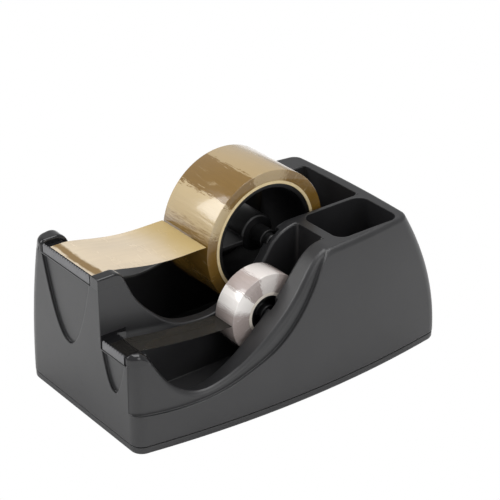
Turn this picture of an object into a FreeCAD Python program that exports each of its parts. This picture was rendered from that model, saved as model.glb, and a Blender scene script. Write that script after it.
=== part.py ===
import FreeCAD, Part
import os
import Sketcher

# Desktop tape dispenser for one wide and one narrow roll, with a pen cup behind them.
# Frame: X to the right, Y towards the rear, Z up, millimetres.
# The origin is the middle of the footprint on the table, and the cutters face -Y.

doc = FreeCAD.newDocument("tape_dispenser")
Vector = FreeCAD.Vector

# ---------------------------------------------------------------- sizes
SIZES = {
    # outer form
    "overall_length": 248.0,
    "rear_bow": 2.0,
    "front_half_width": 61.5,
    "waist_half_width": 75.3,
    "rear_half_width": 67.5,
    "corner_radius": 9.0,
    "seam_height": 8.0,
    "deck_height": 101.5,
    "tower_height": 111.5,
    "left_lean": 0.43,
    "right_lean": 0.30,
    "lean_reach": 352.0,
    "wall": 3.0,
    "band_step": 2.2,
    "rim_radius": 4.0,
    "bay_rim_radius": 1.5,
    # bays and cup
    "wide_bay_left": -39.5,
    "partition_left": 16.8,
    "partition_right": 25.2,
    "narrow_bay_right": 51.7,
    "bay_floor": 20.0,
    "wide_bay_front": -104.0,
    "wide_bay_rear": 91.0,
    "narrow_bay_front": -109.0,
    "narrow_bay_rear": 31.5,
    "cup_front": 38.5,
    "cup_rear": 90.5,
    "cup_right": 60.0,
    "cup_floor": 20.0,
    "narrow_tower_height": 71.0,
    # cutters
    "wide_platform": 104.0,
    "narrow_platform": 63.5,
    "holder_depth": 16.0,
    "holder_height": 3.6,
    "lip_height": 5.0,
    "blade_thickness": 0.6,
    "tooth_pitch": 2.6,
    "tooth_depth": 1.5,
    "wide_teeth": 20.0,
    "narrow_teeth": 9.0,
    # wide roll
    "wide_axis_y": 14.7,
    "wide_axis_z": 90.9,
    "wide_roll_left": -36.1,
    "wide_roll_width": 49.6,
    "wide_roll_radius": 47.7,
    "wide_core_radius": 38.1,
    "wide_core_wall": 2.0,
    "wide_axle_radius": 5.0,
    # narrow roll
    "narrow_axis_y": -11.0,
    "narrow_axis_z": 58.6,
    "narrow_roll_left": 29.0,
    "narrow_roll_width": 19.0,
    "narrow_roll_radius": 27.8,
    "narrow_core_radius": 12.7,
    "narrow_core_wall": 2.0,
    "narrow_axle_radius": 3.0,
    # shared fits
    "running_fit": 0.06,
    "seat_fit": 0.05,
    "slot_depth": 4.6,
    "tape_film": 0.3,
    # base
    "seam_groove": 1.6,
    "seam_gap": 0.8,
    "pan_bottom": 1.5,
    "pan_floor": 2.0,
    "foot_radius": 8.0,
    "foot_sink": 0.8,
    "screw_radius": 1.5,
    "boss_radius": 4.5,
    "ballast_height": 12.0,
    "foot_side_inset": 27.0,
    "foot_end_inset": 34.0,
    "screw_side_inset": 13.0,
    "screw_front_inset": 21.0,
    "screw_rear_inset": 22.0,
}

sheet = doc.addObject("Spreadsheet::Sheet", "Sizes")
for row, (name, value) in enumerate(SIZES.items(), start=1):
    sheet.set("A%d" % row, name)
    sheet.set("B%d" % row, "%g" % value)
    sheet.setAlias("B%d" % row, name)
doc.recompute()


def size(name):
    """Value of one named size, read from the sheet."""
    return float(getattr(sheet, name))


def half_length():
    return size("overall_length") / 2


# ---------------------------------------------------------------- shared helpers
def expr(text):
    """Sheet expression with every size name written as Sizes.name."""
    words = text.replace("(", "( ").replace(")", " )").split()
    return " ".join("Sizes." + word if word in SIZES else word for word in words)


def plane(body, role):
    for feature in body.Origin.OriginFeatures:
        if feature.Role == role:
            return feature
    raise ValueError(role)


def polygon_sketch(body, name, role, corners):
    """Closed sketch whose corners are all held by expressions of the named sizes."""
    sketch = body.newObject("Sketcher::SketchObject", name)
    sketch.AttachmentSupport = [(plane(body, role), "")]
    sketch.MapMode = "FlatFace"
    values = []
    for across, up in corners:
        values.append((number(across), number(up)))
    count = len(values)
    for index in range(count):
        start = Vector(values[index][0], values[index][1], 0)
        following = values[(index + 1) % count]
        sketch.addGeometry(Part.LineSegment(start, Vector(following[0], following[1], 0)), False)
    for index in range(count):
        sketch.addConstraint(Sketcher.Constraint("Coincident", index, 2, (index + 1) % count, 1))
    for index, (across, up) in enumerate(corners):
        for kind, value, text in (
            ("DistanceX", values[index][0], across),
            ("DistanceY", values[index][1], up),
        ):
            held = sketch.addConstraint(Sketcher.Constraint(kind, -1, 1, index, 1, value))
            sketch.setExpression("Constraints[%d]" % held, expr(text))
    return sketch


def number(text):
    """Number that an expression of the named sizes works out to."""
    value = sheet.evalExpression(expr(text))
    return float(getattr(value, "Value", value))


def new_body(label):
    body = doc.addObject("PartDesign::Body", label)
    body.Label = label
    return body


def place(thing, x="0", y="0", z="0"):
    for axis, text in (("x", x), ("y", y), ("z", z)):
        thing.setExpression("Placement.Base.%s" % axis, expr(text))


def turned(body, role, axis, corners):
    """Solid of revolution from a half profile, about one axis of its sketch."""
    sketch = polygon_sketch(body, body.Label + "_profile", role, corners)
    turn = body.newObject("PartDesign::Revolution", body.Label + "_turn")
    turn.Profile = sketch
    turn.ReferenceAxis = (sketch, [axis])
    turn.Angle = 360.0
    return turn


def padded(body, suffix, role, corners, length, reversed_way=False):
    sketch = polygon_sketch(body, body.Label + suffix + "_outline", role, corners)
    pad = body.newObject("PartDesign::Pad", body.Label + suffix)
    pad.Profile = sketch
    pad.setExpression("Length", expr(length))
    pad.Reversed = reversed_way
    return pad


def shaped(label, shape):
    """Object for a form that only lofting and trimming gives."""
    thing = doc.addObject("Part::Feature", label)
    thing.Label = label
    thing.Shape = shape
    return thing


# ---------------------------------------------------------------- outer form
def lean(height):
    """How far the outer skin has moved in from the seam at a height."""
    return (height - size("seam_height")) ** 2 / size("lean_reach")


def outline(height, inset):
    """Closed plan outline of the outer skin at a height, moved in by an inset."""
    inward = lean(height)
    left = size("left_lean") * inward + inset
    right = size("right_lean") * inward + inset
    front = -half_length() + inset
    rear = half_length() - size("rear_bow") - inward - inset
    middle = front + 0.54 * (rear - front)
    front_left = Vector(-size("front_half_width") + left, front, height)
    front_right = Vector(size("front_half_width") - right, front, height)
    rear_left = Vector(-size("rear_half_width") + left, rear, height)
    rear_right = Vector(size("rear_half_width") - right, rear, height)
    mid_left = Vector(-size("waist_half_width") + left, middle, height)
    mid_right = Vector(size("waist_half_width") - right, middle, height)
    mid_rear = Vector(0, rear + size("rear_bow"), height)
    return Part.Wire([
        Part.LineSegment(front_left, front_right).toShape(),
        Part.Arc(front_right, mid_right, rear_right).toShape(),
        Part.Arc(rear_right, mid_rear, rear_left).toShape(),
        Part.Arc(rear_left, mid_left, front_left).toShape(),
    ])


def skin(bottom, top, inset):
    """Solid inside the outer skin between two heights, corners rounded."""
    steps = 5
    wires = []
    for step in range(steps):
        wires.append(outline(bottom + (top - bottom) * step / (steps - 1), inset))
    loft = Part.makeLoft(wires, True, False)
    upright = [edge for edge in loft.Edges if edge.BoundBox.ZLength > 0.9 * (top - bottom)]
    return loft.makeFillet(size("corner_radius") - inset, upright)


def box(x0, x1, y0, y1, z0, z1):
    return Part.makeBox(x1 - x0, y1 - y0, z1 - z0, Vector(x0, y0, z0))


def rounded_well(x0, x1, y0, y1, z0, z1, radius):
    """Box-shaped well with its upright edges rounded."""
    well = box(x0, x1, y0, y1, z0, z1)
    upright = [edge for edge in well.Edges if edge.BoundBox.ZLength > 1]
    return well.makeFillet(radius, upright)


# ---------------------------------------------------------------- top contours
# Each contour is a list of (distance behind the front face, height) points. It starts and
# ends level, so the flat tops run into it smoothly.
def left_contour():
    top = size("tower_height")
    deck = size("deck_height")
    lug = size("wide_axis_z") + 6.5
    return [(11, top), (17.5, 109.2), (21, 103.5), (26, 93), (34, 81), (45, 71), (60, 65),
            (78, 63.5), (97, 67), (110, 73.5), (119, 83), (126, 91.5), (133, 96), (139, lug),
            (146, 96.2), (154, 93.5), (163, 92.5), (172, 95.5), (182, 99.7), (193, deck)]


def partition_contour():
    top = size("tower_height")
    deck = size("deck_height")
    return [(12, top), (17, 109.6), (20, 105), (26.6, 90.8), (33, 82), (40.7, 73.8), (48.3, 66.8),
            (60, 60), (73, 57.4), (86, 57.2), (100, 61.5), (113, 69), (122, 76), (129, 84),
            (135, 92.5), (144, 99), (156, deck)]


def right_contour(outward):
    """Top of the right wall at its bay edge (0) or at its outer edge (1)."""
    deck = size("deck_height")
    top = size("narrow_tower_height")
    inner = [(7, top), (12, 68.9), (16, 62.8), (20, 54.8), (26, 44.7), (34, 36.2), (42, 31.2), (51, 29.6),
             (62, 31.6), (76, 38), (88, 46), (100, 56.5), (112, 67.3), (123, 79), (131, 89),
             (139, 97), (151, deck)]
    outer = [(7, top), (12, 69.1), (16, 64), (20, 57.4), (26, 49.4), (34, 42.6), (42, 38.8), (51, 37.6),
             (62, 39.6), (76, 44.6), (88, 51), (100, 59), (112, 68.5), (123, 80), (131, 90),
             (139, 97.6), (151, deck)]
    points = []
    for near, far in zip(inner, outer):
        points.append((near[0], near[1] + outward * (far[1] - near[1])))
    return points


def accent_contour():
    """Step line that sweeps across the right side face."""
    return [(-4, 30.8), (9, 29.2), (24, 28.2), (43, 28.6), (63, 31.6), (83, 38.4), (99, 45.7),
            (115, 57.5), (127, 71), (135, 82.7), (141, 92.4), (147, 100.4), (151, 106)]


def contour_wire(contour, x, drop=0.0, level_end=True):
    """Closed wire at one x: the contour, level runs at both ends and a lid well above."""
    lid = size("tower_height") + 40
    front = -half_length()
    points = [Vector(x, front + across, up - drop) for across, up in contour]
    curve = Part.BSplineCurve()
    if level_end:
        level = Vector(0, 1, 0)
        curve.interpolate(Points=points, InitialTangent=level, FinalTangent=level, Scale=False)
    else:
        curve.interpolate(Points=points)
    corners = [
        points[-1],
        Vector(x, points[-1].y + 200, points[-1].z),
        Vector(x, points[-1].y + 200, lid),
        Vector(x, points[0].y - 30, lid),
        Vector(x, points[0].y - 30, points[0].z),
        points[0],
    ]
    edges = [curve.toShape()]
    for start, end in zip(corners, corners[1:]):
        edges.append(Part.LineSegment(start, end).toShape())
    return Part.Wire(edges)


def above(contour, x0, x1, drop=0.0, level_end=True):
    """Everything above a contour between two x values."""
    return Part.Face(contour_wire(contour, x0, drop, level_end)).extrude(Vector(x1 - x0, 0, 0))


def above_right_wall(drop=0.0):
    """Everything above the right wall, whose top tilts up towards the outside."""
    inner_x = size("narrow_bay_right")
    outer_x = size("waist_half_width") + 3
    reach = (outer_x - inner_x) / 14.0
    wires = [
        contour_wire(right_contour(0.0), inner_x, drop),
        contour_wire(right_contour(min(reach, 1.25)), outer_x, drop),
    ]
    return Part.makeLoft(wires, True, True)


def upper_cuts(drop):
    """Air above the housing, lowered by a drop for the hollow inside."""
    front = -half_length() - 9
    rear = half_length() + 60
    lid = size("tower_height") + 40
    deck = size("deck_height")
    outside = size("waist_half_width") + 3
    wide_left = size("wide_bay_left")
    split_left = size("partition_left")
    split_right = size("partition_right")
    narrow_right = size("narrow_bay_right")
    return [
        above(left_contour(), -outside, wide_left, drop),
        above(partition_contour(), split_left, split_right, drop),
        above_right_wall(drop),
        box(wide_left, split_left, front, 0, size("wide_platform") - drop, lid),
        box(wide_left, split_left, 0, rear, deck - drop, lid),
        box(split_right, narrow_right, front, 0, size("narrow_platform") - drop, lid),
        box(split_right, narrow_right, 0, rear, deck - drop, lid),
    ]


def bays(grow):
    """The two roll bays and the pen cup, grown by a wall thickness for the hollow."""
    lid = size("tower_height") + 40
    wide = rounded_well(
        size("wide_bay_left") - grow, size("partition_left") + grow,
        size("wide_bay_front") - grow, size("wide_bay_rear") + grow,
        size("bay_floor") - grow, lid, 3.0 + grow)
    narrow = rounded_well(
        size("partition_right") - grow, size("narrow_bay_right") + grow,
        size("narrow_bay_front") - grow, size("narrow_bay_rear") + grow,
        size("bay_floor") - grow, lid, 3.0 + grow)
    cup = rounded_well(
        size("partition_left") + 3.5 - grow, size("cup_right") + grow,
        size("cup_front") - grow, size("cup_rear") + grow,
        size("cup_floor") - grow, lid, 8.0 + grow)
    return [wide, narrow, cup]


def axle_slot(x0, x1, axis_y, axis_z, radius):
    """Upright slot open at the top, round at the bottom where the axle rests."""
    lid = size("tower_height") + 40
    seat = Part.makeCylinder(radius, x1 - x0, Vector(x0, axis_y, axis_z), Vector(1, 0, 0))
    throat = box(x0, x1, axis_y - radius, axis_y + radius, axis_z, lid)
    return seat.fuse(throat)


def slots():
    depth = size("slot_depth")
    wide = size("wide_axle_radius") + size("running_fit")
    narrow = size("narrow_axle_radius") + size("running_fit")
    wide_y, wide_z = size("wide_axis_y"), size("wide_axis_z")
    narrow_y, narrow_z = size("narrow_axis_y"), size("narrow_axis_z")
    return [
        axle_slot(size("wide_bay_left") - depth, size("wide_bay_left") + 1, wide_y, wide_z, wide),
        axle_slot(size("partition_left") - 1, size("partition_left") + depth, wide_y, wide_z, wide),
        axle_slot(size("partition_right") - depth + 1, size("partition_right") + 1,
                  narrow_y, narrow_z, narrow),
        axle_slot(size("narrow_bay_right") - 1, size("narrow_bay_right") + depth - 1,
                  narrow_y, narrow_z, narrow),
    ]


def face_scoop(middle_x, half_width, top, bottom):
    """Shallow U-shaped recess in the front face below a cutter."""
    front = -half_length()
    points = []
    steps = 12
    for step in range(steps + 1):
        across = -1 + 2 * step / steps
        height = bottom + (top - bottom) * across ** 2
        points.append(Vector(middle_x + half_width * across, front - 1, height))
    curve = Part.BSplineCurve()
    curve.interpolate(points)
    lid = Part.LineSegment(points[-1], points[0])
    wire = Part.Wire([curve.toShape(), lid.toShape()])
    return Part.Face(wire).extrude(Vector(0, 1 + 1.8, 0))


def boss_places():
    front = -half_length() + size("screw_front_inset")
    rear = half_length() - size("screw_rear_inset")
    across = size("front_half_width") - size("screw_side_inset")
    return {
        "front_left": (-across, front),
        "front_right": (across, front),
        "rear_left": (-across, rear),
        "rear_right": (across, rear),
    }


def rounded(solid, radius, wanted):
    """Solid with the edges that a test picks rounded by one radius."""
    picked = [edge for edge in solid.Edges if wanted(edge)]
    return solid.makeFillet(radius, picked)


def edges_on_side(x):
    """Test for the top edges of a zone that lie in one upright plane."""
    floor_height = size("bay_floor") + 5

    def wanted(edge):
        bounds = edge.BoundBox
        flat = abs(bounds.XMin - x) < 0.01 and abs(bounds.XMax - x) < 0.01
        straight_up = bounds.YLength < 0.01 and bounds.ZLength > 1
        return flat and not straight_up and bounds.ZMin > floor_height

    return wanted


def outer_rim(inner_x):
    """Test for the top edges where a side zone meets the outer skin."""
    seam = size("seam_height")

    def wanted(edge):
        bounds = edge.BoundBox
        inside = abs(bounds.XMin - inner_x) < 0.01 and abs(bounds.XMax - inner_x) < 0.01
        return not inside and bounds.ZMin > seam + 1

    return wanted


def rear_rim(edge):
    """Test for the edge where the deck meets the rear face."""
    bounds = edge.BoundBox
    level = bounds.ZLength < 0.01 and abs(bounds.ZMax - size("deck_height")) < 0.01
    return level and bounds.YMin > size("wide_bay_rear") + 1 and bounds.XLength > 1


def between_y(solid, y0, y1):
    return solid.common(box(-200, 200, y0, y1, -10, 200))


def zone(outer, x0, x1):
    return outer.common(box(x0, x1, -200, 200, -10, 200))


def left_zone(outer):
    """Left wall with a soft outer rim and a small radius along the wide bay."""
    inner = size("wide_bay_left")
    outside = size("waist_half_width") + 3
    wall = zone(outer, -outside, inner).cut(above(left_contour(), -outside, inner))
    wall = rounded(wall, size("rim_radius"), outer_rim(inner))
    beside_bay = between_y(wall, -200, size("wide_bay_rear"))
    beside_bay = rounded(beside_bay, size("bay_rim_radius"), edges_on_side(inner))
    return [beside_bay, between_y(wall, size("wide_bay_rear"), 200)]


def right_zone(outer):
    """Right wall: tilted top, soft outer rim, and the upper band set in along the step line."""
    inner = size("narrow_bay_right")
    outside = size("waist_half_width") + 3
    wall = zone(outer, inner, outside).cut(above_right_wall())
    wall = rounded(wall, size("rim_radius"), outer_rim(inner))
    beside_bay = between_y(wall, -200, size("narrow_bay_rear"))
    beside_bay = rounded(beside_bay, size("bay_rim_radius"), edges_on_side(inner))
    band = above(accent_contour(), inner + 0.5, outside, level_end=False)
    set_in = beside_bay.copy()
    set_in.translate(Vector(-size("band_step"), 0, 0))
    beside_bay = beside_bay.cut(band.cut(set_in))
    return [beside_bay, between_y(wall, size("narrow_bay_rear"), 200)]


def partition_zone(outer):
    """Wall between the bays, with its top edges rounded only where a bay lies beside it."""
    left = size("partition_left")
    right = size("partition_right")
    wall = zone(outer, left, right).cut(above(partition_contour(), left, right))
    wall = rounded(wall, size("rim_radius"), rear_rim)
    front = between_y(wall, -200, size("narrow_bay_rear"))
    on_left = edges_on_side(left)
    on_right = edges_on_side(right)

    def tower_edge(edge):
        return on_left(edge) or on_right(edge)

    front = rounded(front, size("bay_rim_radius"), tower_edge)
    middle = between_y(wall, size("narrow_bay_rear"), size("wide_bay_rear"))
    middle = rounded(middle, size("bay_rim_radius"), on_left)
    return [front, middle, between_y(wall, size("wide_bay_rear"), 200)]


def level_zone(outer, x0, x1, platform):
    """Floor of one cutter and the level deck behind its bay."""
    lid = size("tower_height") + 40
    block = zone(outer, x0, x1)
    block = block.cut(box(x0, x1, -200, 0, platform, lid))
    block = block.cut(box(x0, x1, 0, 200, size("deck_height"), lid))
    return [rounded(block, size("rim_radius"), rear_rim)]


def front_panel(outer, x0, x1, platform):
    """Closes the front face under one cutter, flush with the cheeks beside it."""
    overlap = size("bay_rim_radius") + 0.5
    front = -half_length()
    return outer.common(box(x0 - overlap, x1 + overlap, front - 1, front + 6, -10, platform))


def make_housing():
    seam = size("seam_height")
    top = size("tower_height")
    wall = size("wall")
    wide_left = size("wide_bay_left")
    split_left = size("partition_left")
    split_right = size("partition_right")
    narrow_right = size("narrow_bay_right")
    outer = skin(seam, top + 0.5, 0.0)
    pieces = left_zone(outer) + level_zone(outer, wide_left, split_left, size("wide_platform"))
    pieces += partition_zone(outer)
    pieces += level_zone(outer, split_right, narrow_right, size("narrow_platform"))
    pieces += right_zone(outer)
    pieces.append(front_panel(outer, wide_left, split_left, size("wide_platform")))
    pieces.append(front_panel(outer, split_right, narrow_right, size("narrow_platform")))
    blocks = [piece.Solids[0] for piece in pieces]
    solid = blocks[0].fuse(blocks[1:]).removeSplitter()
    solid = solid.cut(bays(0.0))
    solid = solid.cut(slots())
    solid = solid.cut([
        face_scoop((wide_left + split_left) / 2 - 1, (split_left - wide_left) / 2 - 1, 103.0, 50.0),
        face_scoop((split_right + narrow_right) / 2, (narrow_right - split_right) / 2 - 1, 62.5, 38.0),
    ])
    hollow = skin(seam - 1, top, wall + size("band_step"))
    hollow = hollow.cut(upper_cuts(wall + 3.0))
    hollow = hollow.cut(bays(wall))
    hollow = hollow.cut(box(split_left - 1, split_right + 1, -200, 200, 20, 200))
    kept = [
        box(wide_left - size("slot_depth") - wall, wide_left, size("wide_axis_y") - 12,
            size("wide_axis_y") + 12, 20, 200),
        box(narrow_right, narrow_right + size("slot_depth") + wall, size("narrow_axis_y") - 9,
            size("narrow_axis_y") + 9, 20, 200),
    ]
    for x, y in boss_places().values():
        kept.append(Part.makeCylinder(size("boss_radius"), 200, Vector(x, y, 0)))
    solid = solid.cut(hollow.cut(kept))
    pan_top = size("pan_bottom") + size("pan_floor")
    for x, y in boss_places().values():
        boss = Part.makeCylinder(size("boss_radius"), seam + 1 - pan_top, Vector(x, y, pan_top))
        solid = solid.fuse(boss)
        pilot_radius = size("screw_radius") + size("seat_fit")
        solid = solid.cut(Part.makeCylinder(pilot_radius, 14, Vector(x, y, pan_top - 1)))
    return shaped("housing", solid.removeSplitter())


def foot_places():
    across = size("front_half_width") - size("foot_side_inset")
    along = half_length() - size("foot_end_inset")
    return {
        "front_left": (-across, -along),
        "front_right": (across, -along),
        "rear_left": (-across, along),
        "rear_right": (across, along),
    }


def prism(inset, bottom, top):
    """Straight-sided block with the plan outline at the seam, corners rounded."""
    wire = outline(size("seam_height"), inset)
    wire.translate(Vector(0, 0, bottom - size("seam_height")))
    block = Part.Face(wire).extrude(Vector(0, 0, top - bottom))
    upright = [edge for edge in block.Edges if edge.BoundBox.ZLength > 0.9 * (top - bottom)]
    return block.makeFillet(size("corner_radius") - inset, upright)


def make_base_pan():
    """Tray with its bottom edge rounded under and a fine groove below the seam."""
    bottom = size("pan_bottom")
    seam = size("seam_height")
    floor = bottom + size("pan_floor")
    groove = size("seam_groove")
    pan = prism(0.2, bottom, seam - size("seam_gap"))
    tucked = [edge for edge in pan.Edges if edge.BoundBox.ZMax < bottom + 0.01]
    pan = pan.makeFillet(2.6, tucked)
    pan = pan.fuse(prism(groove, bottom + 1, seam)).removeSplitter()
    pan = pan.cut(prism(groove + size("wall"), floor, seam + 5))
    for x, y in boss_places().values():
        hole = Part.makeCylinder(size("screw_radius") + size("seat_fit"), 9, Vector(x, y, 0))
        head = Part.makeCylinder(screw_head_radius() + size("seat_fit"), 1.0 + bottom, Vector(x, y, 0))
        pan = pan.cut([hole, head])
    for x, y in foot_places().values():
        recess = Part.makeCylinder(
            size("foot_radius") + size("seat_fit"), bottom + size("foot_sink"), Vector(x, y, 0))
        pan = pan.cut(recess)
    return shaped("base_pan", pan)


def screw_head_radius():
    return 2.1 * size("screw_radius")


def make_ballast():
    """Heavy block that lies in the base pan below both bays."""
    ballast = doc.addObject("Part::Box", "ballast_block")
    ballast.Label = "ballast_block"
    ballast.setExpression("Length", expr("2 * front_half_width - 40"))
    ballast.setExpression("Width", expr("overall_length - 80"))
    ballast.setExpression("Height", expr("ballast_height"))
    place(ballast, "20 - front_half_width", "40 - overall_length / 2", "pan_bottom + pan_floor")


def make_feet():
    for corner, (x, y) in foot_places().items():
        foot = new_body("foot_" + corner)
        turned(foot, "XZ_Plane", "V_Axis", [
            ("0", "0"),
            ("foot_radius - 1", "0"),
            ("foot_radius", "1"),
            ("foot_radius", "pan_bottom + foot_sink"),
            ("0", "pan_bottom + foot_sink"),
        ])
        side = "1" if x > 0 else "-1"
        end = "1" if y > 0 else "-1"
        place(foot, side + " * ( front_half_width - foot_side_inset )",
              end + " * ( overall_length / 2 - foot_end_inset )")


def make_screws():
    for corner, (x, y) in boss_places().items():
        screw = new_body("base_screw_" + corner)
        turned(screw, "XZ_Plane", "V_Axis", [
            ("0", "pan_bottom + 0.3"),
            ("2.1 * screw_radius - 0.4", "pan_bottom + 0.3"),
            ("2.1 * screw_radius", "pan_bottom + 0.6"),
            ("2.1 * screw_radius", "pan_bottom + 1"),
            ("screw_radius", "pan_bottom + 1"),
            ("screw_radius", "pan_bottom + 11"),
            ("0", "pan_bottom + 12.5"),
        ])
        side = "1" if x > 0 else "-1"
        along = "screw_front_inset - overall_length / 2"
        if y > 0:
            along = "overall_length / 2 - screw_rear_inset"
        place(screw, side + " * ( front_half_width - screw_side_inset )", along)


# ---------------------------------------------------------------- cutters
def make_cutter(name, left, right, platform, teeth):
    """Blade holder with a front lip, and the toothed blade standing in front of its lip."""
    holder = new_body(name + "_blade_holder")
    padded(holder, "_block", "YZ_Plane", [
        ("blade_thickness + 0.4", "0"),
        ("holder_depth", "0"),
        ("holder_depth", "holder_height - 1"),
        ("holder_depth - 2", "holder_height"),
        ("4", "holder_height"),
        ("3", "holder_height - 0.9"),
        ("2.2", "holder_height - 0.9"),
        ("1.8", "lip_height"),
        ("blade_thickness + 0.4", "lip_height"),
    ], "%s - ( %s ) - 0.2" % (right, left))
    place(holder, left + " + 0.1", "0 - overall_length / 2", platform)

    blade = new_body(name + "_cutter_blade")
    width = "%s - ( %s ) - 3" % (right, left)
    padded(blade, "_strip", "XZ_Plane", [
        ("0", "0"),
        (width, "0"),
        (width, "lip_height + 1.6"),
        ("0", "lip_height + 1.6"),
    ], "blade_thickness", True)
    gap = polygon_sketch(blade, blade.Label + "_gap_outline", "XZ_Plane", [
        ("0", "lip_height + 1.6 - tooth_depth"),
        ("tooth_pitch / 2", "lip_height + 2"),
        ("0 - tooth_pitch / 2", "lip_height + 2"),
    ])
    pocket = blade.newObject("PartDesign::Pocket", blade.Label + "_gap")
    pocket.Profile = gap
    pocket.Type = "ThroughAll"
    pocket.Midplane = True
    row = blade.newObject("PartDesign::LinearPattern", blade.Label + "_teeth")
    row.Originals = [pocket]
    row.Direction = (gap, ["H_Axis"])
    row.setExpression("Length", expr("tooth_pitch * " + teeth))
    row.setExpression("Occurrences", expr(teeth + " + 1"))
    blade.Tip = row
    place(blade, left + " + 1.5", "0.3 - overall_length / 2", platform)


# ---------------------------------------------------------------- rolls
def make_ring(label, left, width, inner, outer, axis_y, axis_z):
    ring = new_body(label)
    turned(ring, "XY_Plane", "H_Axis", [
        (left, inner),
        ("%s + %s" % (left, width), inner),
        ("%s + %s" % (left, width), outer),
        (left, outer),
    ])
    place(ring, "0", axis_y, axis_z)


def make_wide_hub():
    """Rim, three radial spokes and a bored boss that turn on the wide axle."""
    hub = new_body("wide_hub")
    left = "wide_roll_left + 0.8"
    right = "wide_roll_left + wide_roll_width - 0.8"
    turned(hub, "XY_Plane", "H_Axis", [
        (left, "wide_core_radius - seat_fit - 3"),
        (right, "wide_core_radius - seat_fit - 3"),
        (right, "wide_core_radius - seat_fit"),
        (left, "wide_core_radius - seat_fit"),
    ])
    boss_sketch_corners = [
        ("wide_roll_left + 4", "wide_axle_radius + running_fit"),
        ("wide_roll_left + wide_roll_width - 9", "wide_axle_radius + running_fit"),
        ("wide_roll_left + wide_roll_width - 9", "wide_axle_radius + 7"),
        ("wide_roll_left + wide_roll_width - 10", "wide_axle_radius + 8"),
        ("wide_roll_left + 4", "wide_axle_radius + 8"),
    ]
    spoke_sketch = polygon_sketch(hub, "wide_hub_spoke_outline", "XY_Plane", [
        ("wide_roll_left + 4", "0 - wide_core_radius + 2"),
        ("wide_roll_left + wide_roll_width - 4", "0 - wide_core_radius + 2"),
        ("wide_roll_left + wide_roll_width - 4", "0 - wide_axle_radius - 11"),
        ("wide_roll_left + wide_roll_width - 10", "0 - wide_axle_radius - 6"),
        ("wide_roll_left + 4", "0 - wide_axle_radius - 6"),
    ])
    spoke = hub.newObject("PartDesign::Pad", "wide_hub_spoke")
    spoke.Profile = spoke_sketch
    spoke.Length = 3.0
    spoke.Midplane = True
    spokes = hub.newObject("PartDesign::PolarPattern", "wide_hub_spokes")
    spokes.Originals = [spoke]
    spokes.Axis = (spoke_sketch, ["H_Axis"])
    spokes.Angle = 360.0
    spokes.Occurrences = 3
    boss_sketch = polygon_sketch(hub, "wide_hub_boss_outline", "XY_Plane", boss_sketch_corners)
    boss = hub.newObject("PartDesign::Revolution", "wide_hub_boss")
    boss.Profile = boss_sketch
    boss.ReferenceAxis = (boss_sketch, ["H_Axis"])
    boss.Angle = 360.0
    hub.Tip = boss
    place(hub, "0", "wide_axis_y", "wide_axis_z")


def make_wide_axle():
    axle = new_body("wide_axle")
    reach = "slot_depth - 0.3"
    turned(axle, "XY_Plane", "H_Axis", [
        ("wide_bay_left - ( %s )" % reach, "0"),
        ("partition_left + %s" % reach, "0"),
        ("partition_left + %s" % reach, "wide_axle_radius - 0.6"),
        ("partition_left + %s - 0.6" % reach, "wide_axle_radius"),
        ("wide_bay_left - ( %s ) + 0.6" % reach, "wide_axle_radius"),
        ("wide_bay_left - ( %s )" % reach, "wide_axle_radius - 0.6"),
    ])
    place(axle, "0", "wide_axis_y", "wide_axis_z")


def make_wide_collars():
    """Clip rings on the axle that keep the wide hub centred between the bay walls."""
    for label, left, right in (
        ("wide_axle_collar_left", "wide_bay_left + 0.5", "wide_roll_left + 3.6"),
        ("wide_axle_collar_right", "wide_roll_left + wide_roll_width - 8.6", "partition_left - 0.5"),
    ):
        collar = new_body(label)
        turned(collar, "XY_Plane", "H_Axis", [
            (left, "wide_axle_radius + seat_fit"),
            (right, "wide_axle_radius + seat_fit"),
            (right, "wide_axle_radius + 1.8"),
            (left, "wide_axle_radius + 1.8"),
        ])
        place(collar, "0", "wide_axis_y", "wide_axis_z")


def make_narrow_hub():
    hub = new_body("narrow_hub")
    left = "narrow_roll_left + 0.5"
    right = "narrow_roll_left + narrow_roll_width - 0.5"
    bore = "narrow_axle_radius + running_fit"
    rim = "narrow_core_radius - seat_fit"
    turned(hub, "XY_Plane", "H_Axis", [
        (left, bore),
        (right + " + 1.5", bore),
        (right + " + 1.5", "narrow_axle_radius + 3"),
        (right + " - 3", "narrow_axle_radius + 3.4"),
        (right + " - 3", rim + " - 2.2"),
        (right, rim + " - 2"),
        (right, rim),
        (left, rim),
        (left, rim + " - 2"),
        (left + " + 3", rim + " - 2.2"),
        (left + " + 3", "narrow_axle_radius + 3.4"),
        (left, "narrow_axle_radius + 3"),
    ])
    place(hub, "0", "narrow_axis_y", "narrow_axis_z")


def make_narrow_axle():
    axle = new_body("narrow_axle")
    reach = "slot_depth - 1.3"
    turned(axle, "XY_Plane", "H_Axis", [
        ("partition_right - ( %s )" % reach, "0"),
        ("narrow_bay_right + %s" % reach, "0"),
        ("narrow_bay_right + %s" % reach, "narrow_axle_radius - 0.5"),
        ("narrow_bay_right + %s - 0.5" % reach, "narrow_axle_radius"),
        ("partition_right - ( %s ) + 0.5" % reach, "narrow_axle_radius"),
        ("partition_right - ( %s )" % reach, "narrow_axle_radius - 0.5"),
    ])
    place(axle, "0", "narrow_axis_y", "narrow_axis_z")


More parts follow.
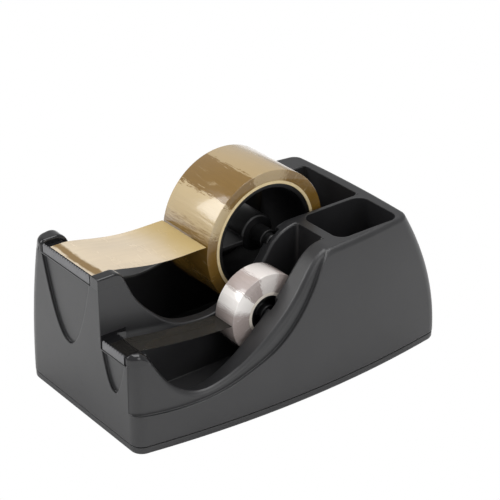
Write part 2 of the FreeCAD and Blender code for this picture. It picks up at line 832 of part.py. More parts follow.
def make_strip(label, left, width, platform, axis_y, axis_z, radius, rise):
    """Free end of the tape from its peel line to the cutter, one film thick."""
    peel = "%s - %s - 0.4" % (axis_y, radius)
    rest = platform + " + holder_height"
    rear = "holder_depth - 2 - overall_length / 2"
    front = "4.2 - overall_length / 2"
    end_height = "%s + %s" % (axis_z, rise)
    strip = new_body(label)
    lower = [
        (front, rest),
        (rear, rest),
        ("( %s + %s ) / 2" % (rear, peel), "( %s + %s ) / 2 - 0.8" % (rest, end_height)),
        (peel, end_height),
    ]
    upper = [(across, up + " + tape_film") for across, up in reversed(lower)]
    padded(strip, "_film", "YZ_Plane", lower + upper, width)
    place(strip, left)


def make_all():
    make_housing()
    make_base_pan()
    make_ballast()
    make_feet()
    make_screws()
    make_cutter("wide", "wide_bay_left", "partition_left", "wide_platform", "wide_teeth")
    make_cutter("narrow", "partition_right", "narrow_bay_right", "narrow_platform", "narrow_teeth")
    make_ring("wide_tape_core", "wide_roll_left", "wide_roll_width",
              "wide_core_radius", "wide_core_radius + wide_core_wall", "wide_axis_y", "wide_axis_z")
    make_ring("wide_tape_roll", "wide_roll_left + 0.2", "wide_roll_width - 0.4",
              "wide_core_radius + wide_core_wall + seat_fit", "wide_roll_radius",
              "wide_axis_y", "wide_axis_z")
    make_ring("narrow_tape_core", "narrow_roll_left", "narrow_roll_width",
              "narrow_core_radius", "narrow_core_radius + narrow_core_wall",
              "narrow_axis_y", "narrow_axis_z")
    make_ring("narrow_tape_roll", "narrow_roll_left + 0.2", "narrow_roll_width - 0.4",
              "narrow_core_radius + narrow_core_wall + seat_fit", "narrow_roll_radius",
              "narrow_axis_y", "narrow_axis_z")
    make_wide_hub()
    make_wide_axle()
    make_wide_collars()
    make_narrow_hub()
    make_narrow_axle()
    make_strip("wide_tape_strip", "wide_roll_left + 0.6", "wide_roll_width - 1.2",
               "wide_platform", "wide_axis_y", "wide_axis_z", "wide_roll_radius", "7.5")
    make_strip("narrow_tape_strip", "narrow_roll_left + 0.4", "narrow_roll_width - 0.8",
               "narrow_platform", "narrow_axis_y", "narrow_axis_z", "narrow_roll_radius", "0")


def write_parts():
    """Check every finished piece and write it as its own file."""
    os.makedirs("parts", exist_ok=True)
    kinds = ("PartDesign::Body", "Part::Feature", "Part::Box")
    for thing in doc.Objects:
        if "Invalid" in thing.State or "Error" in thing.State:
            raise ValueError("%s did not recompute" % thing.Label)
        if thing.TypeId not in kinds or thing.getParentGeoFeatureGroup() is not None:
            continue
        if thing.Shape.isNull() or not thing.Shape.isValid():
            raise ValueError("%s has no valid shape" % thing.Label)
        thing.Shape.exportStep("parts/%s.step" % thing.Label)
        print(thing.Label, len(thing.Shape.Solids), round(thing.Shape.Volume))


make_all()
doc.recompute()
write_parts()
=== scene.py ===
import math

import bmesh
import bpy
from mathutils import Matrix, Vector


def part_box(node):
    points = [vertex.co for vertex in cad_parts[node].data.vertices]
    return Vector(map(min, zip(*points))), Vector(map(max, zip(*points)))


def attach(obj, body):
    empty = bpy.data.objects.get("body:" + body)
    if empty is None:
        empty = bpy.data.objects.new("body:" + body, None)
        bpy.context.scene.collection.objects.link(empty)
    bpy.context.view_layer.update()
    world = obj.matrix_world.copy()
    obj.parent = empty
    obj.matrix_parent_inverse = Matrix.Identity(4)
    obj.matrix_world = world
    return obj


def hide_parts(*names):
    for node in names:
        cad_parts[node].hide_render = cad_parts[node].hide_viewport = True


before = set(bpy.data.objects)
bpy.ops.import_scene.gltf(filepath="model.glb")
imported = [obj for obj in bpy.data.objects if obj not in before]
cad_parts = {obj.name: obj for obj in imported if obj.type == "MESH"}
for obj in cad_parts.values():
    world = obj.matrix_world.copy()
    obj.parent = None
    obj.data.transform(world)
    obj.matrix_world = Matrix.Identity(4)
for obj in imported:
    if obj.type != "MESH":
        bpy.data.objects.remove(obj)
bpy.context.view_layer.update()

bl_info = {
    "name": "Tape Dispenser Looks",
    "version": (1, 0, 0),
    "blender": (4, 5, 0),
    "location": "View3D > Sidebar > Tape Dispenser",
    "description": "Finishes, wound rolls, tape ends and stage for a desktop tape dispenser",
    "category": "Object",
}

ROOT_BODY = "dispenser"
CORNERS = ("front_left", "front_right", "rear_left", "rear_right")

# Polished cheeks, measured from the blade holders between them
CHEEK_BELOW = 0.0003
WIDE_CHEEK_REACH = 0.0075
NARROW_CHEEK_REACH = 0.003
NARROW_CHEEK_RISE = 0.0087
NARROW_CHEEK_SIDE = 0.0013

# Painted reflection: pale bands painted round a wound roll, in radians about its axle: where each
# one starts to show, is full, starts to fade and is gone
FRONT_REFLECTION = (2.52, 2.58, 2.92, 3.16)
UPPER_REFLECTION = (1.30, 1.52, 1.98, 2.04)
UPPER_REFLECTION_SHARE = 0.6

# Free tape ends
SOLID_FILM = 0.0003
STUCK_SHARE = 0.16
PLATFORM_MARGIN = 0.004

# Stage lamps: name, place, aim, size and power
LAMPS = (
    ("stage_key", (-0.9, -1.5, 1.3), (0.0, -0.02, 0.05), 1.2, 24.0),
    ("stage_top", (0.1, 0.3, 1.7), (0.0, 0.0, 0.05), 1.3, 20.0),
    ("stage_fill", (1.6, 0.2, 0.9), (0.0, 0.0, 0.05), 1.0, 7.0),
)
ROOM_LIGHT = 0.55
SENSOR_WIDTH = 36.0
SHARP_EDGE = math.radians(35)


# ---------------------------------------------------------------- settings
def length(name, description, value):
    return bpy.props.FloatProperty(
        name=name, description=description, default=value,
        unit="LENGTH", subtype="DISTANCE", precision=5)


def colour(name, description, value):
    return bpy.props.FloatVectorProperty(
        name=name, description=description, default=value,
        size=3, min=0.0, max=1.0, subtype="COLOR")


def share(name, description, value):
    return bpy.props.FloatProperty(
        name=name, description=description, default=value, min=0.0, max=1.0, subtype="FACTOR")


class DispenserPlasticSettings(bpy.types.PropertyGroup):
    """Moulded plastic of the housing, base, holders and hubs."""
    body: colour("Body", "Satin black of the housing", (0.0135, 0.0135, 0.0145))
    gloss: colour("Gloss", "Polished black of the cutter cheeks", (0.008, 0.008, 0.009))
    roughness: share("Roughness", "Roughness of the satin skin", 0.38)
    # Black plastic made much darker than the body as painted shade on the hubs and axle parts deep
    # inside the roll cores
    hub: colour("Hubs", "Black of the hubs and the wide axle", (0.0025, 0.0025, 0.0028))
    polish: share("Polish", "Roughness of the polished areas", 0.11)
    grain: length("Grain", "Size of the moulded grain", 0.00045)
    edge: length("Edge", "Radius that softens moulded edges", 0.0011)


class DispenserTapeSettings(bpy.types.PropertyGroup):
    """Both tapes, wound and free."""
    brown: colour("Brown", "Wound brown tape", (0.185, 0.102, 0.018))
    brown_film: colour("Brown film", "Free layer of brown tape", (0.60, 0.505, 0.375))
    golden: colour("Golden film", "Brown tape where it leaves the roll", (0.47, 0.35, 0.155))
    board: colour("Board", "Pale board core", (0.72, 0.58, 0.33))
    clear: colour("Clear", "Wound clear tape", (0.40, 0.34, 0.32))
    clear_core: colour("Clear core", "Pale core of the narrow roll", (0.74, 0.68, 0.60))
    film: length("Film", "Thickness of one layer", 0.00012)
    sag: length("Sag", "Drop of the wide free end at its middle", 0.0032)


class DispenserStageSettings(bpy.types.PropertyGroup):
    """Floor, backdrop, lights and camera."""
    floor: colour("Floor", "Pale floor", (0.90, 0.90, 0.90))
    azimuth: bpy.props.FloatProperty(
        name="Azimuth",
        description="Camera bearing, turned from straight in front towards the right",
        default=math.radians(52.19), subtype="ANGLE")
    elevation: bpy.props.FloatProperty(
        name="Elevation", description="Camera height angle",
        default=math.radians(28.21), subtype="ANGLE")
    distance: length("Distance", "Camera distance from its target", 1.1487)
    target: bpy.props.FloatVectorProperty(
        name="Target", description="Point the camera looks at",
        default=(0.0207, -0.0040, 0.0911), size=3, subtype="TRANSLATION")
    lens: bpy.props.FloatProperty(
        name="Lens", description="Focal length", default=127.67, unit="CAMERA")


# ---------------------------------------------------------------- node helpers
class Nodes:
    """Short way to lay out one material's nodes."""

    def __init__(self, name):
        self.material = bpy.data.materials.new(name)
        self.material.use_nodes = True
        self.tree = self.material.node_tree
        self.tree.nodes.clear()
        self.output = self.add("ShaderNodeOutputMaterial")

    def add(self, kind, **values):
        node = self.tree.nodes.new(kind)
        for key, value in values.items():
            setattr(node, key, value)
        return node

    def link(self, source, target):
        self.tree.links.new(source, target)

    def feed(self, socket, value):
        if isinstance(value, bpy.types.NodeSocket):
            self.link(value, socket)
        elif socket.type == "RGBA" and len(value) == 3:
            socket.default_value = (*value, 1.0)
        else:
            socket.default_value = value

    def place(self, offset=(0, 0, 0), scale=(1, 1, 1)):
        """Object coordinates, moved by an offset and then scaled."""
        where = self.add("ShaderNodeTexCoord").outputs["Object"]
        shift = self.add("ShaderNodeVectorMath", operation="SUBTRACT")
        self.link(where, shift.inputs[0])
        shift.inputs[1].default_value = offset
        stretch = self.add("ShaderNodeVectorMath", operation="MULTIPLY")
        self.link(shift.outputs[0], stretch.inputs[0])
        stretch.inputs[1].default_value = scale
        return stretch.outputs[0]

    def axes(self, vector):
        split = self.add("ShaderNodeSeparateXYZ")
        self.link(vector, split.inputs[0])
        return split.outputs

    def math(self, operation, first, second=0.0, third=None, clamp=False):
        node = self.add("ShaderNodeMath", operation=operation, use_clamp=clamp)
        self.feed(node.inputs[0], first)
        self.feed(node.inputs[1], second)
        if third is not None:
            self.feed(node.inputs[2], third)
        return node.outputs[0]

    def noise(self, vector, scale, detail=3.0, roughness=0.5, distortion=0.0):
        node = self.add("ShaderNodeTexNoise")
        self.feed(node.inputs["Vector"], vector)
        node.inputs["Scale"].default_value = scale
        node.inputs["Detail"].default_value = detail
        node.inputs["Roughness"].default_value = roughness
        node.inputs["Distortion"].default_value = distortion
        return node.outputs["Fac"]

    def between(self, value, low, high, out_low, out_high, smooth=False):
        ramp = "SMOOTHSTEP" if smooth else "LINEAR"
        node = self.add("ShaderNodeMapRange", interpolation_type=ramp)
        self.feed(node.inputs["Value"], value)
        node.inputs["From Min"].default_value = low
        node.inputs["From Max"].default_value = high
        node.inputs["To Min"].default_value = out_low
        node.inputs["To Max"].default_value = out_high
        return node.outputs["Result"]

    def band(self, value, limits, share=1.0):
        """Rises to a share and falls again across four limits."""
        rise = self.between(value, limits[0], limits[1], 0.0, share, smooth=True)
        fall = self.between(value, limits[2], limits[3], 1.0, 0.0, smooth=True)
        return self.math("MULTIPLY", rise, fall)

    def mix(self, factor, first, second):
        node = self.add("ShaderNodeMix", data_type="RGBA")
        self.feed(node.inputs["Factor"], factor)
        self.feed(node.inputs[6], first)
        self.feed(node.inputs[7], second)
        return node.outputs[2]

    def bump(self, height, distance, strength=1.0, normal=None):
        node = self.add("ShaderNodeBump")
        node.inputs["Strength"].default_value = strength
        node.inputs["Distance"].default_value = distance
        self.feed(node.inputs["Height"], height)
        if normal is not None:
            self.link(normal, node.inputs["Normal"])
        return node.outputs["Normal"]

    def soft_edge(self, radius):
        node = self.add("ShaderNodeBevel", samples=8)
        node.inputs["Radius"].default_value = radius
        return node.outputs["Normal"]

    def shader(self, **values):
        node = self.add("ShaderNodeBsdfPrincipled")
        for key, value in values.items():
            self.feed(node.inputs[key.replace("_", " ")], value)
        return node.outputs["BSDF"]

    def done(self, surface):
        self.link(surface, self.output.inputs["Surface"])
        return self.material


# ---------------------------------------------------------------- finishes
def cheek_mask(n, where):
    """One on the polished cheeks beside the two cutters, and nought elsewhere."""
    x, y, z = n.axes(where)
    wide_low, wide_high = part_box("wide_blade_holder")
    narrow_low, narrow_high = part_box("narrow_blade_holder")
    wide = n.math("MULTIPLY",
                  n.math("LESS_THAN", y, wide_high.y + WIDE_CHEEK_REACH),
                  n.math("GREATER_THAN", z, wide_low.z - CHEEK_BELOW))
    narrow = n.math("MULTIPLY",
                    n.math("GREATER_THAN", z, narrow_low.z - CHEEK_BELOW),
                    n.math("LESS_THAN", z, narrow_low.z + NARROW_CHEEK_RISE))
    narrow = n.math("MULTIPLY", narrow, n.math("LESS_THAN", y, narrow_high.y + NARROW_CHEEK_REACH))
    narrow = n.math("MULTIPLY", narrow, n.math("GREATER_THAN", x, narrow_low.x - NARROW_CHEEK_SIDE))
    return n.math("MAXIMUM", wide, narrow)


def satin_plastic(name, settings, body, polished_cheeks=False):
    """Moulded black plastic with a fine grain, softened edges and faint handling marks."""
    n = Nodes(name)
    where = n.place()
    grain = n.noise(where, 1.0 / settings.grain, detail=2.0)
    cloud = n.noise(where, 26.0, detail=4.0, roughness=0.6)
    scuffs = n.noise(n.place(scale=(1.0, 0.16, 1.0)), 420.0, detail=2.0)
    rough = n.math("ADD", n.between(cloud, 0.3, 0.7, -0.04, 0.04), settings.roughness)
    rough = n.math("ADD", rough, n.between(scuffs, 0.62, 0.75, 0.0, 0.05))
    tint = n.mix(n.between(cloud, 0.35, 0.65, 0.0, 1.0), body, [c * 1.35 for c in body])
    if polished_cheeks:
        polished = cheek_mask(n, where)
        sheer = n.math("SUBTRACT", settings.polish, rough)
        rough = n.math("MULTIPLY_ADD", polished, sheer, rough)
        tint = n.mix(polished, tint, settings.gloss)
    normal = n.bump(grain, 0.00003, 0.35, n.soft_edge(settings.edge))
    return n.done(n.shader(Base_Color=tint, Roughness=rough, IOR=1.5, Normal=normal))


def polished_plastic(name, settings):
    """Glossy black plastic of the blade holders, with fine wipe marks."""
    n = Nodes(name)
    where = n.place(scale=(0.3, 1.0, 1.0))
    wipes = n.noise(where, 900.0, detail=3.0)
    rough = n.between(wipes, 0.35, 0.7, settings.polish, settings.polish + 0.08)
    normal = n.bump(wipes, 0.00001, 0.3, n.soft_edge(0.0005))
    return n.done(n.shader(Base_Color=settings.gloss, Roughness=rough, IOR=1.5, Normal=normal))


def cut_steel(name, tint=(0.42, 0.42, 0.43), roughness=0.3):
    """Ground steel strip with marks along its length."""
    n = Nodes(name)
    lines = n.noise(n.place(scale=(0.05, 1.0, 1.0)), 5200.0, detail=2.0)
    stain = n.noise(n.place(), 160.0, detail=3.0)
    rough = n.between(lines, 0.3, 0.7, roughness - 0.06, roughness + 0.08)
    tone = n.mix(stain, tint, [c * 0.7 for c in tint])
    normal = n.bump(lines, 0.00001, 0.4)
    return n.done(n.shader(Base_Color=tone, Metallic=1.0, Roughness=rough, Normal=normal))


def soft_rubber(name):
    n = Nodes(name)
    speck = n.noise(n.place(), 2600.0, detail=2.0)
    tone = n.mix(speck, (0.012, 0.012, 0.012), (0.022, 0.022, 0.021))
    return n.done(n.shader(Base_Color=tone, Roughness=0.82, Normal=n.bump(speck, 0.00005, 0.5)))


def rough_iron(name):
    n = Nodes(name)
    pits = n.noise(n.place(), 700.0, detail=5.0, roughness=0.65)
    tone = n.mix(pits, (0.09, 0.085, 0.08), (0.18, 0.17, 0.16))
    normal = n.bump(pits, 0.0002, 0.6)
    return n.done(n.shader(Base_Color=tone, Metallic=0.7, Roughness=0.6, Normal=normal))


def core_board(name, tone, axis):
    """Wound paper board: fine rings on its ends and a fibre grain."""
    n = Nodes(name)
    x, y, z = n.axes(n.place(offset=axis))
    radius = n.math("SQRT", n.math("ADD", n.math("MULTIPLY", y, y), n.math("MULTIPLY", z, z)))
    rings = n.math("SINE", n.math("MULTIPLY", radius, 2 * math.pi / 0.00045))
    fibres = n.noise(n.place(scale=(1.0, 0.4, 0.4)), 2400.0, detail=4.0)
    shade = n.between(n.math("MULTIPLY_ADD", rings, 0.25, fibres), 0.2, 0.9, 0.0, 1.0)
    base = n.mix(shade, [c * 0.78 for c in tone], tone)
    return n.done(n.shader(Base_Color=base, Roughness=0.78, Normal=n.bump(fibres, 0.00004, 0.6)))


def wound_tape(name, tone, axis, pale, layer, speck_and_reflection_share, roughness=0.13):
    """Wound film: layer rings on its ends, pale specks at random, and a painted reflection in
    ragged pale stripes at fixed turns of the roll.
    """
    n = Nodes(name)
    x, y, z = n.axes(n.place(offset=axis))
    radius = n.math("SQRT", n.math("ADD", n.math("MULTIPLY", y, y), n.math("MULTIPLY", z, z)))
    turn = n.math("ARCTAN2", z, y)
    rings = n.math("SINE", n.math("MULTIPLY", radius, 2 * math.pi / layer))
    sleeve = n.add("ShaderNodeCombineXYZ")
    n.link(n.math("MULTIPLY", x, 9.0), sleeve.inputs[0])
    n.link(n.math("MULTIPLY", turn, 3.2), sleeve.inputs[1])
    n.link(n.math("MULTIPLY", radius, 30.0), sleeve.inputs[2])
    ragged = n.noise(sleeve.outputs[0], 2.1, detail=6.0, roughness=0.62, distortion=0.4)
    fine = n.noise(n.place(scale=(0.12, 1.0, 1.0)), 900.0, detail=4.0, roughness=0.6)
    jagged = n.noise(sleeve.outputs[0], 13.0, detail=5.0, roughness=0.68)
    edge = n.math("MULTIPLY_ADD", jagged, 0.42, turn)
    # Painted reflection: pale stripes with ragged edges at fixed turns of the roll stand in for the
    # reflection of a lamp
    painted_reflections = n.math("MAXIMUM", n.band(edge, FRONT_REFLECTION), n.band(edge, UPPER_REFLECTION, UPPER_REFLECTION_SHARE))
    specks = n.between(ragged, 0.60, 0.72, 0.0, 0.5, smooth=True)
    streak = n.math("MULTIPLY", n.math("MAXIMUM", painted_reflections, specks), speck_and_reflection_share)
    lines = n.between(n.math("MULTIPLY_ADD", rings, 0.22, fine), 0.15, 0.95, 0.0, 1.0)
    base = n.mix(lines, [c * 0.82 for c in tone], tone)
    # Base turns to the pale colour where the painted reflection and the random specks fall
    base = n.mix(streak, base, pale)
    rough = n.between(ragged, 0.3, 0.75, roughness, roughness + 0.16)
    relief = n.math("MULTIPLY_ADD", ragged, 1.6, n.math("MULTIPLY", rings, 0.06))
    normal = n.bump(relief, 0.00055, 0.5)
    return n.done(n.shader(
        Base_Color=base, Roughness=rough, IOR=1.5, Coat_Weight=0.6, Coat_Roughness=0.05,
        Normal=normal))


def brown_film_finish(name, settings, stuck_from, stuck_to, peel):
    """Single brown layer: pale where it hangs free, golden by the roll, brown where stuck."""
    tone = settings.brown_film
    n = Nodes(name)
    where = n.place()
    x, y, z = n.axes(where)
    ripple = n.noise(n.place(scale=(0.35, 1.0, 1.0)), 130.0, detail=5.0, roughness=0.6)
    streak = n.noise(n.place(scale=(1.0, 0.08, 0.2)), 240.0, detail=3.0)
    edge = n.math("ADD", y, n.between(ripple, 0.3, 0.7, -0.0016, 0.0016))
    fade = 0.002
    stuck = n.band(edge, (stuck_from, stuck_from + fade, stuck_to - fade, stuck_to))
    lighter = [min(1.0, c * 1.12) for c in tone]
    base = n.mix(n.between(streak, 0.35, 0.7, 0.0, 1.0), tone, lighter)
    near_roll = n.between(edge, peel - 0.040, peel - 0.006, 0.0, 1.0, smooth=True)
    base = n.mix(near_roll, base, settings.golden)
    base = n.mix(n.math("MULTIPLY", stuck, 0.9), base, settings.brown)
    rough = n.between(ripple, 0.3, 0.7, 0.16, 0.30)
    normal = n.bump(ripple, 0.0002, 0.25)
    solid = n.shader(Base_Color=base, Roughness=rough, IOR=1.48, Normal=normal)
    through = n.add("ShaderNodeBsdfTranslucent")
    through.inputs["Color"].default_value = (*tone, 1.0)
    blend = n.add("ShaderNodeMixShader")
    blend.inputs[0].default_value = 0.18
    n.link(solid, blend.inputs[1])
    n.link(through.outputs[0], blend.inputs[2])
    return n.done(blend.outputs[0])


def clear_film_finish(name):
    """Clear single layer: mostly seen through, with a strong sheen and faint haze."""
    n = Nodes(name)
    ripple = n.noise(n.place(scale=(0.5, 1.0, 1.0)), 90.0, detail=4.0)
    haze = n.noise(n.place(scale=(1.0, 0.15, 0.3)), 500.0, detail=4.0)
    normal = n.bump(ripple, 0.00015, 0.3)
    clear = n.add("ShaderNodeBsdfTransparent")
    clear.inputs["Color"].default_value = (0.90, 0.89, 0.87, 1.0)
    rough = n.between(haze, 0.3, 0.7, 0.04, 0.10)
    sheen = n.shader(Base_Color=(0.045, 0.042, 0.038), Roughness=rough, IOR=1.5, Normal=normal)
    fresnel = n.add("ShaderNodeFresnel")
    fresnel.inputs["IOR"].default_value = 1.5
    n.link(normal, fresnel.inputs["Normal"])
    veil = n.between(haze, 0.3, 0.75, 0.10, 0.22)
    cover = n.math("ADD", fresnel.outputs[0], veil, clamp=True)
    blend = n.add("ShaderNodeMixShader")
    n.link(cover, blend.inputs[0])
    n.link(clear.outputs[0], blend.inputs[1])
    n.link(sheen, blend.inputs[2])
    return n.done(blend.outputs[0])


# ---------------------------------------------------------------- mesh helpers
def finish_mesh(name, mesh_work, material):
    """Turns a bmesh into an object at the origin with outward normals."""
    bmesh.ops.recalc_face_normals(mesh_work, faces=mesh_work.faces)
    for face in mesh_work.faces:
        face.smooth = True
    for edge in mesh_work.edges:
        if len(edge.link_faces) == 2 and edge.calc_face_angle(0.0) > SHARP_EDGE:
            edge.smooth = False
    data = bpy.data.meshes.new(name)
    mesh_work.to_mesh(data)
    mesh_work.free()
    data.materials.append(material)
    thing = bpy.data.objects.new(name, data)
    bpy.context.scene.collection.objects.link(thing)
    return thing


def spun_ring(profile, centre, steps):
    """Ring about the X axis through a centre, from a closed profile of (x, radius)."""
    work = bmesh.new()
    corners = [work.verts.new((x, centre.y, centre.z + radius)) for x, radius in profile]
    edges = []
    for first, second in zip(corners, corners[1:] + corners[:1]):
        edges.append(work.edges.new((first, second)))
    bmesh.ops.spin(work, geom=corners + edges, cent=centre, axis=(1, 0, 0), angle=2 * math.pi,
                   steps=steps, use_merge=True)
    bmesh.ops.remove_doubles(work, verts=work.verts, dist=1e-6)
    return work


def rounded_profile(x0, x1, inner, outer, corner, steps=3):
    """Closed (x, radius) profile of a ring with its two outer corners rounded."""
    points = [(x0, inner), (x1, inner)]
    for step in range(steps + 1):
        angle = 0.5 * math.pi * step / steps
        height = outer - corner * (1 - math.sin(angle))
        points.append((x1 - corner * (1 - math.cos(angle)), height))
    for step in range(steps + 1):
        angle = 0.5 * math.pi * (1 + step / steps)
        height = outer - corner * (1 - math.sin(angle))
        points.append((x0 + corner * (1 + math.cos(angle)), height))
    return points


def centre_of(node):
    """Middle of a ring's box, and its outer radius."""
    low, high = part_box(node)
    return (low + high) / 2, (high.z - low.z) / 2


def paint(material, *nodes):
    for node in nodes:
        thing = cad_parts[node]
        if not thing.material_slots:
            thing.data.materials.append(material)
        for place in thing.material_slots:
            place.link = "OBJECT"
            place.material = material


def film_strip(name, x0, x1, path, thickness, material, dip):
    """Thin film along a (y, z) path, with a dip that varies across its width."""
    across, along = 24, 72
    work = bmesh.new()
    bmesh.ops.create_grid(work, x_segments=across, y_segments=along, size=0.5)
    lengths = [0.0]
    for first, second in zip(path, path[1:]):
        lengths.append(lengths[-1] + math.dist(first, second))
    for vertex in work.verts:
        u = vertex.co.x + 0.5
        t = (vertex.co.y + 0.5) * lengths[-1]
        for index in range(len(path) - 1):
            if t <= lengths[index + 1] + 1e-12:
                break
        part = (t - lengths[index]) / (lengths[index + 1] - lengths[index])
        y = path[index][0] + part * (path[index + 1][0] - path[index][0])
        z = path[index][1] + part * (path[index + 1][1] - path[index][1])
        vertex.co = Vector((x0 + u * (x1 - x0), y, z - dip(u, t / lengths[-1])))
    bmesh.ops.solidify(work, geom=work.faces[:], thickness=thickness)
    return finish_mesh(name, work, material)


# ---------------------------------------------------------------- operators
class PieceOperator:
    """Shared behaviour of the operators that build or finish pieces."""
    bl_options = {"REGISTER", "UNDO"}

    def execute(self, context):
        self.build(context.scene)
        return {"FINISHED"}


class DISPENSER_OT_plastics(PieceOperator, bpy.types.Operator):
    """Finish the housing, base, holders, hubs and axle in black plastic"""
    bl_idname = "dispenser.plastics"
    bl_label = "Plastic Parts"

    def build(self, scene):
        plastic = scene.dispenser_plastic
        housing = satin_plastic("housing_plastic", plastic, plastic.body, polished_cheeks=True)
        paint(housing, "housing")
        paint(satin_plastic("pan_plastic", plastic, plastic.body), "base_pan")
        # Hub plastic: black, with extra darkness over the housing that is painted shade inside the
        # roll cores
        paint(satin_plastic("hub_plastic", plastic, plastic.hub), "wide_hub", "wide_axle",
              "wide_axle_collar_left", "wide_axle_collar_right", "narrow_hub")
        paint(polished_plastic("holder_plastic", plastic),
              "wide_blade_holder", "narrow_blade_holder")


class DISPENSER_OT_fittings(PieceOperator, bpy.types.Operator):
    """Finish the blades, pin, screws, feet and ballast"""
    bl_idname = "dispenser.fittings"
    bl_label = "Metal and Rubber Parts"

    def build(self, scene):
        paint(cut_steel("blade_steel", tint=(0.16, 0.16, 0.165)),
              "wide_cutter_blade", "narrow_cutter_blade")
        paint(cut_steel("axle_steel", roughness=0.22), "narrow_axle")
        paint(cut_steel("screw_steel"), *("base_screw_" + corner for corner in CORNERS))
        paint(soft_rubber("foot_rubber"), *("foot_" + corner for corner in CORNERS))
        paint(rough_iron("ballast_iron"), "ballast_block")


class DISPENSER_OT_wide_roll(PieceOperator, bpy.types.Operator):
    """Wind the brown tape on its board core"""
    bl_idname = "dispenser.wide_roll"
    bl_label = "Wide Roll"

    def build(self, scene):
        tape = scene.dispenser_tape
        centre, outer = centre_of("wide_tape_roll")
        core_low, core_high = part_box("wide_tape_core")
        low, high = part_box("wide_tape_roll")
        core_outer = (core_high.z - core_low.z) / 2
        axis = (0.0, centre.y, centre.z)
        # Pale colour of the painted reflection and specks, and how strongly they show
        finish = wound_tape("brown_tape", tape.brown, axis, (0.62, 0.50, 0.30), 0.00033, 0.62)
        profile = rounded_profile(low.x, high.x, core_outer + 0.00005, outer, 0.00035)
        roll = finish_mesh("wide_wound_tape", spun_ring(profile, Vector(axis), 256), finish)
        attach(roll, "wide_roll_set")
        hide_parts("wide_tape_roll")
        paint(core_board("core_board", tape.board, axis), "wide_tape_core")


class DISPENSER_OT_wide_end(PieceOperator, bpy.types.Operator):
    """Lay the free end of the brown tape from its roll to the cutter"""
    bl_idname = "dispenser.wide_end"
    bl_label = "Wide Tape End"

    def build(self, scene):
        tape = scene.dispenser_tape
        low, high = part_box("wide_tape_strip")
        holder_low, holder_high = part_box("wide_blade_holder")
        level = high.z - SOLID_FILM + tape.film
        path = [(low.y, level), (holder_high.y - 0.002, level), (high.y, low.z + 0.00085)]
        sag = tape.sag

        def dip(u, t):
            free = max(0.0, (t - STUCK_SHARE) / (1 - STUCK_SHARE))
            across = 0.62 + 0.38 * math.cos(2 * math.pi * (u - 0.1))
            return sag * math.sin(math.pi * free) ** 1.2 * across

        finish = brown_film_finish("brown_film", tape, holder_low.y + PLATFORM_MARGIN,
                                   holder_high.y - PLATFORM_MARGIN, high.y)
        strip = film_strip("wide_free_tape", low.x, high.x, path, tape.film, finish, dip)
        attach(strip, ROOT_BODY)
        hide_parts("wide_tape_strip")


class DISPENSER_OT_narrow_roll(PieceOperator, bpy.types.Operator):
    """Wind the clear tape on its pale core"""
    bl_idname = "dispenser.narrow_roll"
    bl_label = "Narrow Roll"

    def build(self, scene):
        tape = scene.dispenser_tape
        centre, outer = centre_of("narrow_tape_roll")
        core_low, core_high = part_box("narrow_tape_core")
        low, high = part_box("narrow_tape_roll")
        core_outer = (core_high.z - core_low.z) / 2
        axis = (0.0, centre.y, centre.z)
        # Pale colour of the painted reflection and specks, and how strongly they show
        finish = wound_tape("clear_tape", tape.clear, axis, (0.90, 0.87, 0.84), 0.00028, 0.85,
                            roughness=0.1)
        profile = rounded_profile(low.x, high.x, core_outer + 0.00005, outer, 0.0003)
        roll = finish_mesh("narrow_wound_tape", spun_ring(profile, Vector(axis), 192), finish)
        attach(roll, "narrow_roll_set")
        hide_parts("narrow_tape_roll")
        paint(core_board("narrow_core_plastic", tape.clear_core, axis), "narrow_tape_core")


class DISPENSER_OT_narrow_end(PieceOperator, bpy.types.Operator):
    """Lay the free end of the clear tape from its roll to the cutter"""
    bl_idname = "dispenser.narrow_end"
    bl_label = "Narrow Tape End"

    def build(self, scene):
        tape = scene.dispenser_tape
        low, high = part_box("narrow_tape_strip")
        holder_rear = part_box("narrow_blade_holder")[1].y
        level = high.z - SOLID_FILM + tape.film
        path = [(low.y, level), (holder_rear - 0.002, level), (high.y, low.z + 0.0002)]

        def dip(u, t):
            free = max(0.0, (t - STUCK_SHARE) / (1 - STUCK_SHARE))
            return 0.0012 * math.sin(math.pi * free) * (0.7 + 0.3 * math.cos(2 * math.pi * u))

        finish = clear_film_finish("clear_film")
        strip = film_strip("narrow_free_tape", low.x, high.x, path, tape.film, finish, dip)
        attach(strip, ROOT_BODY)
        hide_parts("narrow_tape_strip")


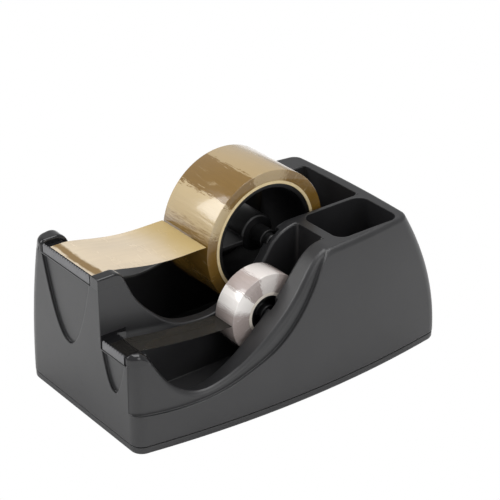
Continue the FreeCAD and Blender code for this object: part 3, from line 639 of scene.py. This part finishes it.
class DISPENSER_OT_stage(PieceOperator, bpy.types.Operator):
    """Set out the pale floor, white backdrop, soft lights and camera"""
    bl_idname = "dispenser.stage"
    bl_label = "Stage"

    def build(self, scene):
        stage = scene.dispenser_stage
        work = bmesh.new()
        bmesh.ops.create_grid(work, x_segments=8, y_segments=8, size=4.0)
        floor = finish_mesh("stage_floor", work, self.floor_finish(stage.floor))
        self.backdrop(scene)
        for name, place, aim, size, power in LAMPS:
            self.lamp(name, place, aim, size, power)
        self.camera(scene, stage)
        scene.view_settings.view_transform = "Standard"

    @staticmethod
    def floor_finish(tone):
        """Floor that is white to the camera and pale and matt to everything else."""
        n = Nodes("stage_floor")
        speck = n.noise(n.place(), 3.0, detail=2.0)
        matt = n.add("ShaderNodeBsdfDiffuse")
        n.link(n.mix(speck, tone, [c * 0.99 for c in tone]), matt.inputs["Color"])
        white = n.add("ShaderNodeEmission")
        white.inputs["Color"].default_value = (1.0, 1.0, 1.0, 1.0)
        white.inputs["Strength"].default_value = 1.0
        path = n.add("ShaderNodeLightPath")
        blend = n.add("ShaderNodeMixShader")
        n.link(path.outputs["Is Camera Ray"], blend.inputs[0])
        n.link(matt.outputs[0], blend.inputs[1])
        n.link(white.outputs[0], blend.inputs[2])
        return n.done(blend.outputs[0])

    @staticmethod
    def backdrop(scene):
        world = bpy.data.worlds.new("stage_world")
        scene.world = world
        world.use_nodes = True
        tree = world.node_tree
        tree.nodes.clear()
        output = tree.nodes.new("ShaderNodeOutputWorld")
        room = tree.nodes.new("ShaderNodeBackground")
        room.inputs["Color"].default_value = (1.0, 1.0, 1.0, 1.0)
        room.inputs["Strength"].default_value = ROOM_LIGHT
        white = tree.nodes.new("ShaderNodeBackground")
        white.inputs["Color"].default_value = (1.0, 1.0, 1.0, 1.0)
        white.inputs["Strength"].default_value = 1.0
        path = tree.nodes.new("ShaderNodeLightPath")
        blend = tree.nodes.new("ShaderNodeMixShader")
        tree.links.new(path.outputs["Is Camera Ray"], blend.inputs[0])
        tree.links.new(room.outputs[0], blend.inputs[1])
        tree.links.new(white.outputs[0], blend.inputs[2])
        tree.links.new(blend.outputs[0], output.inputs["Surface"])

    @staticmethod
    def lamp(name, place, aim, size, power):
        data = bpy.data.lights.new(name, "AREA")
        data.shape = "SQUARE"
        data.size = size
        data.energy = power
        light = bpy.data.objects.new(name, data)
        bpy.context.scene.collection.objects.link(light)
        light.location = place
        light.rotation_euler = (Vector(aim) - Vector(place)).to_track_quat("-Z", "Y").to_euler()

    @staticmethod
    def camera(scene, stage):
        target = Vector(stage.target)
        level = math.cos(stage.elevation)
        direction = Vector((
            math.sin(stage.azimuth) * level,
            -math.cos(stage.azimuth) * level,
            math.sin(stage.elevation),
        ))
        data = bpy.data.cameras.new("stage_camera")
        data.lens = stage.lens
        data.sensor_width = SENSOR_WIDTH
        data.clip_end = 50.0
        view = bpy.data.objects.new("stage_camera", data)
        scene.collection.objects.link(view)
        view.location = target + direction * stage.distance
        view.rotation_euler = (-direction).to_track_quat("-Z", "Y").to_euler()
        scene.camera = view


OPERATORS = (
    DISPENSER_OT_plastics,
    DISPENSER_OT_fittings,
    DISPENSER_OT_wide_roll,
    DISPENSER_OT_wide_end,
    DISPENSER_OT_narrow_roll,
    DISPENSER_OT_narrow_end,
    DISPENSER_OT_stage,
)


class DISPENSER_PT_sidebar(bpy.types.Panel):
    """Sidebar page that lists every building step"""
    bl_label = "Tape Dispenser"
    bl_idname = "DISPENSER_PT_sidebar"
    bl_space_type = "VIEW_3D"
    bl_region_type = "UI"
    bl_category = "Tape Dispenser"

    def draw(self, context):
        column = self.layout.column(align=True)
        for operator in OPERATORS:
            column.operator(operator.bl_idname)


SETTINGS = {
    "dispenser_plastic": DispenserPlasticSettings,
    "dispenser_tape": DispenserTapeSettings,
    "dispenser_stage": DispenserStageSettings,
}


def register():
    for name, group in SETTINGS.items():
        bpy.utils.register_class(group)
        setattr(bpy.types.Scene, name, bpy.props.PointerProperty(type=group))
    for operator in OPERATORS:
        bpy.utils.register_class(operator)
    bpy.utils.register_class(DISPENSER_PT_sidebar)


def unregister():
    bpy.utils.unregister_class(DISPENSER_PT_sidebar)
    for operator in reversed(OPERATORS):
        bpy.utils.unregister_class(operator)
    for name, group in reversed(SETTINGS.items()):
        delattr(bpy.types.Scene, name)
        bpy.utils.unregister_class(group)


def main():
    register()
    for operator in OPERATORS:
        group, name = operator.bl_idname.split(".")
        getattr(getattr(bpy.ops, group), name)()


if __name__ == "__main__":
    main()
